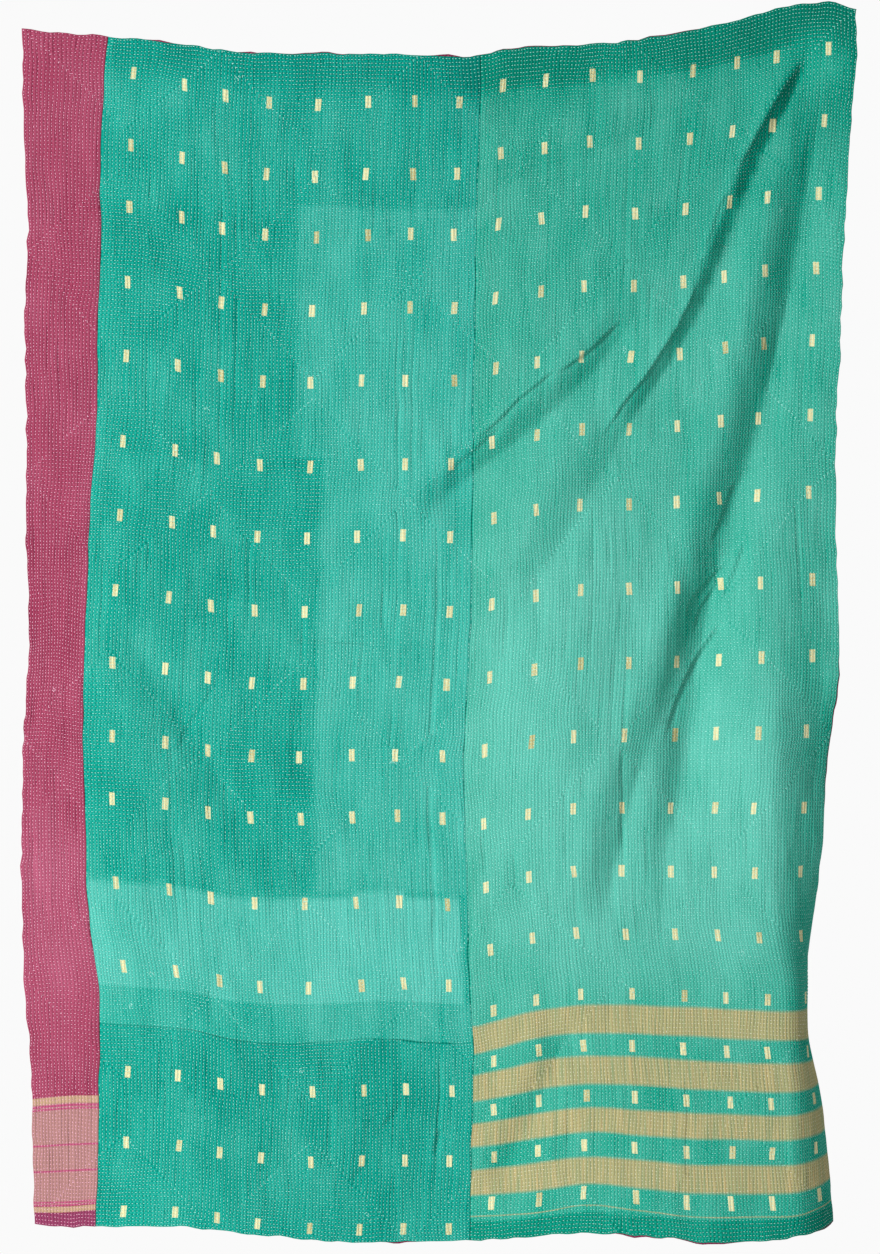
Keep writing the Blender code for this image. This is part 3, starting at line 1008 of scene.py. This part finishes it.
def end_band(tree, weave, colour, streaks, mottle):
    """The tan and raspberry bands at the foot of the side strip, woven a little askew."""
    tilted = add(tree, "ShaderNodeVectorMath", {"operation": "DOT_PRODUCT"}, {
        0: weave, 1: (0.09, 1, 0),
    }).outputs["Value"]
    thin_lines = (
        (1926, 1930), (1932, 1935), (1996, 1999), (2042, 2045), (2097, 2100), (2102, 2105),
    )
    return laid_over(tree, colour, [
        (marked(tree, tilted, ranges, soft=1.5), linear(shade))
        for ranges, shade in (
            (((1914, 2104),), "#9B706E"), (((1912, 1924), (2106, 2116)), "#A88971"),
            (thin_lines, "#A04568"), (((2117, 2300),), "#7E3554"),
        )
    ])


raspberry = sari_cotton("raspberry_dyed_muslin", "#76243F", "#89354E", "#A0556D", end_band)
left_green = sari_cotton(
    "green_dyed_muslin", "#016D5F", "#038C7B", "#54ADA0", with_figures(COLUMNS_LEFT, ROWS_LEFT)
)
patch_green = sari_cotton(
    "deep_green_dyed_muslin", "#016D5F", "#038C7B", "#54ADA0", with_figures(COLUMNS_LEFT, ROWS_PATCH)
)
right_green = sari_cotton(
    "banded_green_dyed_muslin", "#016D5A", "#038B75", "#58AC9C",
    with_figures(COLUMNS_RIGHT, ROWS_RIGHT, BANDS_RIGHT),
)
maroon = sari_cotton("maroon_dyed_muslin", "#5E1F38", "#7C2F4B", "#9A4C66", is_back=True)
print(len(bpy.data.materials), "materials so far")

# %% [markdown]
# ## The cloths
# The four face cloths are cut from the one quilted sheet, so their rows of sewing run on across the
# seams, as they do when a pieced top is quilted whole. The backing is one cloth behind them. It gets
# a coarser sheet of its own, with one line to a row.

# %% Hang the five cloths
in_strip = (0, SIDE_SEAM - HALF_GAP)
in_left = (SIDE_SEAM + HALF_GAP, CENTRE_SEAM - HALF_GAP)
in_right = (CENTRE_SEAM + HALF_GAP, WIDTH)
face_cloths = (
    ("raspberry_strip", "side_strip", (*in_strip, 0, LENGTH), raspberry, "raspberry_cotton"),
    ("green_panel", "left_panel", (*in_left, 0, PATCH_SEAM - HALF_GAP), left_green, "green_cotton"),
    ("green_patch", "lower_left_patch", (*in_left, PATCH_SEAM + HALF_GAP, LENGTH), patch_green,
     "deep_green_cotton"),
    ("banded_panel", "right_panel", (*in_right, 0, LENGTH), right_green, "striped_green_cotton"),
)
cloths = {}
for name, node, sides, finish, slot in face_cloths:
    piece = hang_cloth(name, quilt_top, sides, finish)
    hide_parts(node)
    cloths[name] = (piece, sides)
quilt_top.free()

back_sheet = quilted_sheet((0.5,))
backing = hang_cloth("backing", back_sheet, (0, WIDTH, 0, LENGTH), maroon, on_the_back=True)
back_sheet.free()
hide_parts("back_cloth")

# %% [markdown]
# ## The running stitches
# There are about eighty-five thousand stitches, each some 3 mm of thick cotton thread lying on the
# face. They are what makes a kantha, so they are real shapes: a spindle with three sides and two
# points, six triangles in all, with a flat side outward where it catches the light. Only their
# places are worked out here, as loose points with directions. A Geometry Nodes tree then sets a
# spindle on each point, turned along its row, and realises them into two or three meshes a cloth.

# %% Places of the stitches
THREAD_ENDS = (  # where the stitcher began a new thread and left a small tangle
    (232, 1672), (628, 2086), (372, 46), (1402, 352), (812, 702), (944, 1138), (1108, 560),
    (500, 1822), (186, 1734), (690, 1270), (330, 640), (1010, 250), (1340, 1640), (60, 1180),
)
CLEAR = 1  # what a stitch keeps from the end of its row, and from the side of its cloth
ALONG_JITTER, ASIDE_JITTER = 0.5, 0.26  # how unevenly a hand sets a stitch
TANGLE, TANGLE_SIZE = 7, 3.0  # the stitches of a tangle, and how far they lie about


def row_of_stitches(draw, start, end, level, across):
    """u, v and the direction of each stitch in one row, which runs across the quilt or down it."""
    at = STITCH * np.arange(math.ceil((start + CLEAR) / STITCH), (end - CLEAR) / STITCH)
    levels = np.full(len(at), level)
    late = lag(at, levels) if across else lag(levels, at)
    at = at - late + draw.normal(0, ALONG_JITTER, len(at))
    levels += draw.normal(0, ASIDE_JITTER, len(at))
    one, none = np.ones(len(at)), np.zeros(len(at))
    return np.column_stack([at, levels, one, none] if across else [levels, at, none, one])


def running_stitches():
    """u, v and the direction of every stitch, row by row."""
    draw = np.random.default_rng(11)
    found = []
    for u0, u1, v0, v1 in blocks():
        room = min(u1 - u0, v1 - v0) / 2
        for away in (np.arange(round(room / ROW)) + 0.5) * fitted(room):
            left, right, top, bottom = u0 + away, u1 - away, v0 + away, v1 - away
            found += [row_of_stitches(draw, left, right, level, True) for level in (top, bottom)]
            found += [row_of_stitches(draw, top, bottom, level, False) for level in (left, right)]
            # and one across each corner, where the row turns
            slant = math.sqrt(0.5)
            for u, v, lean in (
                (left, top, slant), (right, top, -slant), (left, bottom, -slant), (right, bottom, slant),
            ):
                found.append([[u, v, slant, lean]])
    for u, v in THREAD_ENDS:
        way = draw.uniform(0, math.pi, TANGLE)
        loose = np.array([u, v]) + draw.normal(0, TANGLE_SIZE, (TANGLE, 2))
        found.append(np.column_stack([loose, np.cos(way), np.sin(way)]))
    return np.concatenate(found)


stitches = running_stitches()
print(len(stitches), "stitches")

# %% The thread, and the tree that sets the stitches
def cotton_thread(name, shade, light):
    """Soft cotton quilting thread: matt, and uneven along its length."""
    material, tree, shader = new_material(name, {"Roughness": 0.8, "Specular IOR Level": 0.3})
    place = add(tree, "ShaderNodeUVMap", {"uv_map": "OFBake"}).outputs[0]
    uneven = add(tree, "ShaderNodeTexNoise", None, {"Vector": place, "Scale": 300.0, "Detail": 2.0})
    ramp = add(tree, "ShaderNodeValToRGB", None, {"Fac": uneven.outputs["Fac"]})
    set_stops(ramp, ((0.3, linear(shade)), (0.7, linear(light))))
    tree.links.new(ramp.outputs[0], shader.inputs["Base Color"])
    return material


THREAD_WIDTH, THREAD_HEIGHT, STITCH_LENGTH = 1.2, 0.85, 3.3
THREE_SIDED = 1.15  # a shape with three sides is that much narrower than its ball
STITCH_NOTES = ("outward", "heading", "square", "bearing", "aside", "length", "own_place")


def stitch_setter(thread):
    """A Geometry Nodes tree that sets a spindle of thread on every point."""
    tree = bpy.data.node_groups.new("set_stitches", "GeometryNodeTree")
    tree.interface.new_socket("Geometry", in_out="INPUT", socket_type="NodeSocketGeometry")
    tree.interface.new_socket("Geometry", in_out="OUTPUT", socket_type="NodeSocketGeometry")
    points = add(tree, "NodeGroupInput").outputs[0]
    ball = add(tree, "GeometryNodeMeshUVSphere", None, {"Segments": 3, "Rings": 2, "Radius": 0.5 * MM})
    stood = add(tree, "GeometryNodeTransform", None, {
        "Geometry": ball.outputs["Mesh"],
        "Scale": (THREAD_HEIGHT, THREAD_WIDTH * THREE_SIDED, STITCH_LENGTH),
    })
    laid = add(tree, "GeometryNodeTransform", None, {
        "Geometry": stood.outputs[0], "Rotation": (0, math.pi / 2, 0),
    })
    own_place = add(tree, "GeometryNodeStoreNamedAttribute", {
        "data_type": "FLOAT_VECTOR", "domain": "POINT",
    }, {"Geometry": laid.outputs[0], "Name": "own_place",
        "Value": add(tree, "GeometryNodeInputPosition").outputs[0]})
    read = {
        name: add(tree, "GeometryNodeInputNamedAttribute", {
            "data_type": "FLOAT" if name == "length" else "FLOAT_VECTOR",
        }, {"Name": name}).outputs[0]
        for name in STITCH_NOTES
    }
    turn = add(tree, "FunctionNodeAxesToRotation", {"primary_axis": "Z", "secondary_axis": "X"}, {
        "Primary Axis": read["outward"], "Secondary Axis": read["heading"],
    })
    size = add(tree, "ShaderNodeCombineXYZ", None, {0: read["length"], 1: 1.0, 2: 1.0})
    set_out = add(tree, "GeometryNodeInstanceOnPoints", None, {
        "Points": points, "Instance": own_place.outputs[0],
        "Rotation": turn.outputs[0], "Scale": size.outputs[0],
    })
    real = add(tree, "GeometryNodeRealizeInstances", None, {"Geometry": set_out.outputs[0]})
    own = add(tree, "ShaderNodeSeparateXYZ", None, {0: read["own_place"]})
    place = read["square"]
    for way, distance in ((read["bearing"], own.outputs[0]), (read["aside"], own.outputs[1])):
        place = add(tree, "ShaderNodeVectorMath", {"operation": "MULTIPLY_ADD"}, {
            0: way, 1: distance, 2: place,
        }).outputs[0]
    mapped = add(tree, "GeometryNodeStoreNamedAttribute", {
        "data_type": "FLOAT2", "domain": "CORNER",
    }, {"Geometry": real.outputs[0], "Name": "OFBake", "Value": place})
    dyed = add(tree, "GeometryNodeSetMaterial", None, {"Geometry": mapped.outputs[0], "Material": thread})
    end = add(tree, "NodeGroupOutput")
    tree.links.new(dyed.outputs[0], end.inputs[0])
    return tree


RAISED = 0.3  # how far the middle of a thread lies above the cloth
IN_FRONT, RAY_LENGTH = 20, 50  # mm, to find the cloth's surface from in front of it


def sew(name, cloth, stitches, sides, thread):
    """One mesh of all these stitches, lying in the grooves of the hung cloth."""
    u, v, way_u, way_v = stitches.T
    place, across, down, inwards = lie_of_the_cloth(*wandered(u, v))
    surface = BVHTree.FromObject(cloth, bpy.context.evaluated_depsgraph_get())
    hung = place * MM
    for i, (start, way) in enumerate(zip((place - IN_FRONT * inwards) * MM, inwards)):
        hung[i] = surface.ray_cast(start, way, RAY_LENGTH * MM)[0] or hung[i]
    hung -= RAISED * MM * inwards
    per_u, per_v = square_scale(sides)
    per_mm = np.array([1000 * per_u, -1000 * per_v, 0])
    none = np.zeros(len(u))
    mesh = bpy.data.meshes.new(name)
    mesh.vertices.add(len(u))
    mesh.vertices.foreach_set("co", hung.astype(np.float32).ravel())
    for note, values in (
        ("outward", -inwards), ("heading", unit(across * way_u[:, None] + down * way_v[:, None])),
        ("square", np.column_stack([square_place(u, v, sides), none])),
        ("bearing", np.column_stack([way_u, way_v, none]) * per_mm),
        ("aside", np.column_stack([way_v, -way_u, none]) * per_mm),
    ):
        layer = mesh.attributes.new(note, "FLOAT_VECTOR", "POINT")
        layer.data.foreach_set("vector", values.astype(np.float32).ravel())
    lengths = np.random.default_rng(13).normal(1, 0.16, len(u)).clip(0.6, 1.5)
    on_points(mesh, "length", lengths)
    piece = in_scene(name, mesh)
    setter = piece.modifiers.new("set_stitches", "NODES")
    setter.node_group = stitch_setter(thread)
    graph = bpy.context.evaluated_depsgraph_get()
    finished = bpy.data.meshes.new_from_object(piece.evaluated_get(graph))
    piece.modifiers.clear()
    piece.data = finished
    finished.name = name
    for note in set(STITCH_NOTES) & set(finished.attributes.keys()):
        finished.attributes.remove(finished.attributes[note])
    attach(piece, "root")
    print(name, "has", len(u), "stitches and", 6 * len(u), "triangles")
    return piece


def on_a_band(u, v):
    """True for the stitches that lie on a tan band, where the thread has picked up no green."""
    woven_v = woven_place(*wandered(u, v))[1]
    return sum((woven_v > start) & (woven_v < end) for start, end in BANDS_RIGHT) > 0


mint_thread = cotton_thread("cotton_thread_tinged_green", "#76C2B4", "#A9E0D6")
cream_thread = cotton_thread("cotton_thread_still_cream", "#B9B79C", "#D8D6C0")
rose_thread = cotton_thread("cotton_thread_tinged_rose", "#C68CA4", "#E0B0C2")
for name, (piece, sides) in cloths.items():
    u0, u1, v0, v1 = sides
    u, v = stitches[:, :2].T
    inside = (u > u0 + CLEAR) & (u < u1 - CLEAR) & (v > v0 + CLEAR) & (v < v1 - CLEAR)
    lower = v > (v0 + v1) / 2
    on_tan = on_a_band(u, v) & (name == "banded_panel")
    tinged = rose_thread if name == "raspberry_strip" else mint_thread
    parts = (
        ("upper", ~lower, tinged), ("lower", lower & ~on_tan, tinged), ("band", on_tan, cream_thread),
    )
    [
        sew(f"{name}_{part}_stitches", piece, stitches[inside & here], sides, thread)
        for part, here, thread in parts if here.any()
    ]

# %% [markdown]
# ## Each cloth's flat sides
# The loop only reads the sides that each cloth was cut to. All of them hang from the top edge.

for name, (piece, sides) in cloths.items():
    u0, u1, v0, v1 = sides

# %% [markdown]
# ## Floor, light and camera
# The floor is a plain pale disc some way below the quilt. A large soft lamp stands to the upper left
# and in front, which lights the near sides of the folds and leaves their far sides deep. The world
# fills the shadows with weak white light, and the camera sees it as a plain pale backdrop.

# %% Set the stage
FLOOR_HEIGHT, FLOOR_RADIUS = -2.9, 3.2
floor_cut = bmesh.new()
bmesh.ops.create_circle(floor_cut, cap_ends=True, segments=96, radius=FLOOR_RADIUS)
bmesh.ops.translate(floor_cut, vec=(0, 0, FLOOR_HEIGHT), verts=floor_cut.verts[:])
floor_mesh = bpy.data.meshes.new("floor")
floor_cut.to_mesh(floor_mesh)
floor_cut.free()
floor_mesh.materials.append(
    new_material("matt_white_paint", {"Base Color": linear("#E8E8E6"), "Roughness": 0.9})[0]
)
in_scene("floor", floor_mesh)

world = bpy.data.worlds.new("studio")
bpy.context.scene.world = world
world.use_nodes = True
sky = world.node_tree
sky.nodes.clear()
fill = add(sky, "ShaderNodeBackground", None, {"Color": (1, 1, 1, 1), "Strength": 0.42})
backdrop = add(sky, "ShaderNodeBackground", None, {"Color": linear("#FAFAFA"), "Strength": 1.0})
seen = add(sky, "ShaderNodeLightPath")
mixed = add(sky, "ShaderNodeMixShader", None, {
    0: seen.outputs["Is Camera Ray"], 1: fill.outputs[0], 2: backdrop.outputs[0],
})
add(sky, "ShaderNodeOutputWorld", None, {"Surface": mixed.outputs[0]})


def lamp(name, place, target, size, power):
    light = bpy.data.lights.new(name, "AREA")
    light.shape = "DISK"
    light.size = size
    light.energy = power
    made = in_scene(name, light)
    away = np.array(place) - np.array(target)
    flat = math.hypot(away[0], away[1])
    made.location = place
    made.rotation_euler = (math.atan2(flat, away[2]), 0, math.atan2(away[0], -away[1]))


lamp("key", (-5.4, -4.6, -0.35), (0, 0, -1.2), 2.4, 640)
lamp("fill", (-1.5, -5.2, -2.6), (0.2, 0, -1.5), 2.4, 70)
lamp("rim", (2.5, 3.0, 0.6), (0, 0, -1.0), 2.0, 120)

CAMERA_DISTANCE, CAMERA_HEIGHT = 5.0, -1.012
SEEN_HEIGHT = 2.23  # metres, how much of the quilt's plane the camera sees from top to bottom
SENSOR = 36
camera_data = bpy.data.cameras.new("camera")
camera_data.sensor_width = SENSOR
camera_data.lens = SENSOR * CAMERA_DISTANCE / SEEN_HEIGHT
camera = in_scene("camera", camera_data)
camera.location = (0, -CAMERA_DISTANCE, CAMERA_HEIGHT)
camera.rotation_euler = (math.pi / 2, 0, 0)
bpy.context.scene.camera = camera
bpy.context.scene.view_settings.view_transform = "Standard"
bpy.context.scene.cycles.denoising_prefilter = "NONE"  # else it takes the stitches for noise
print("lens", round(camera_data.lens, 1), "mm")
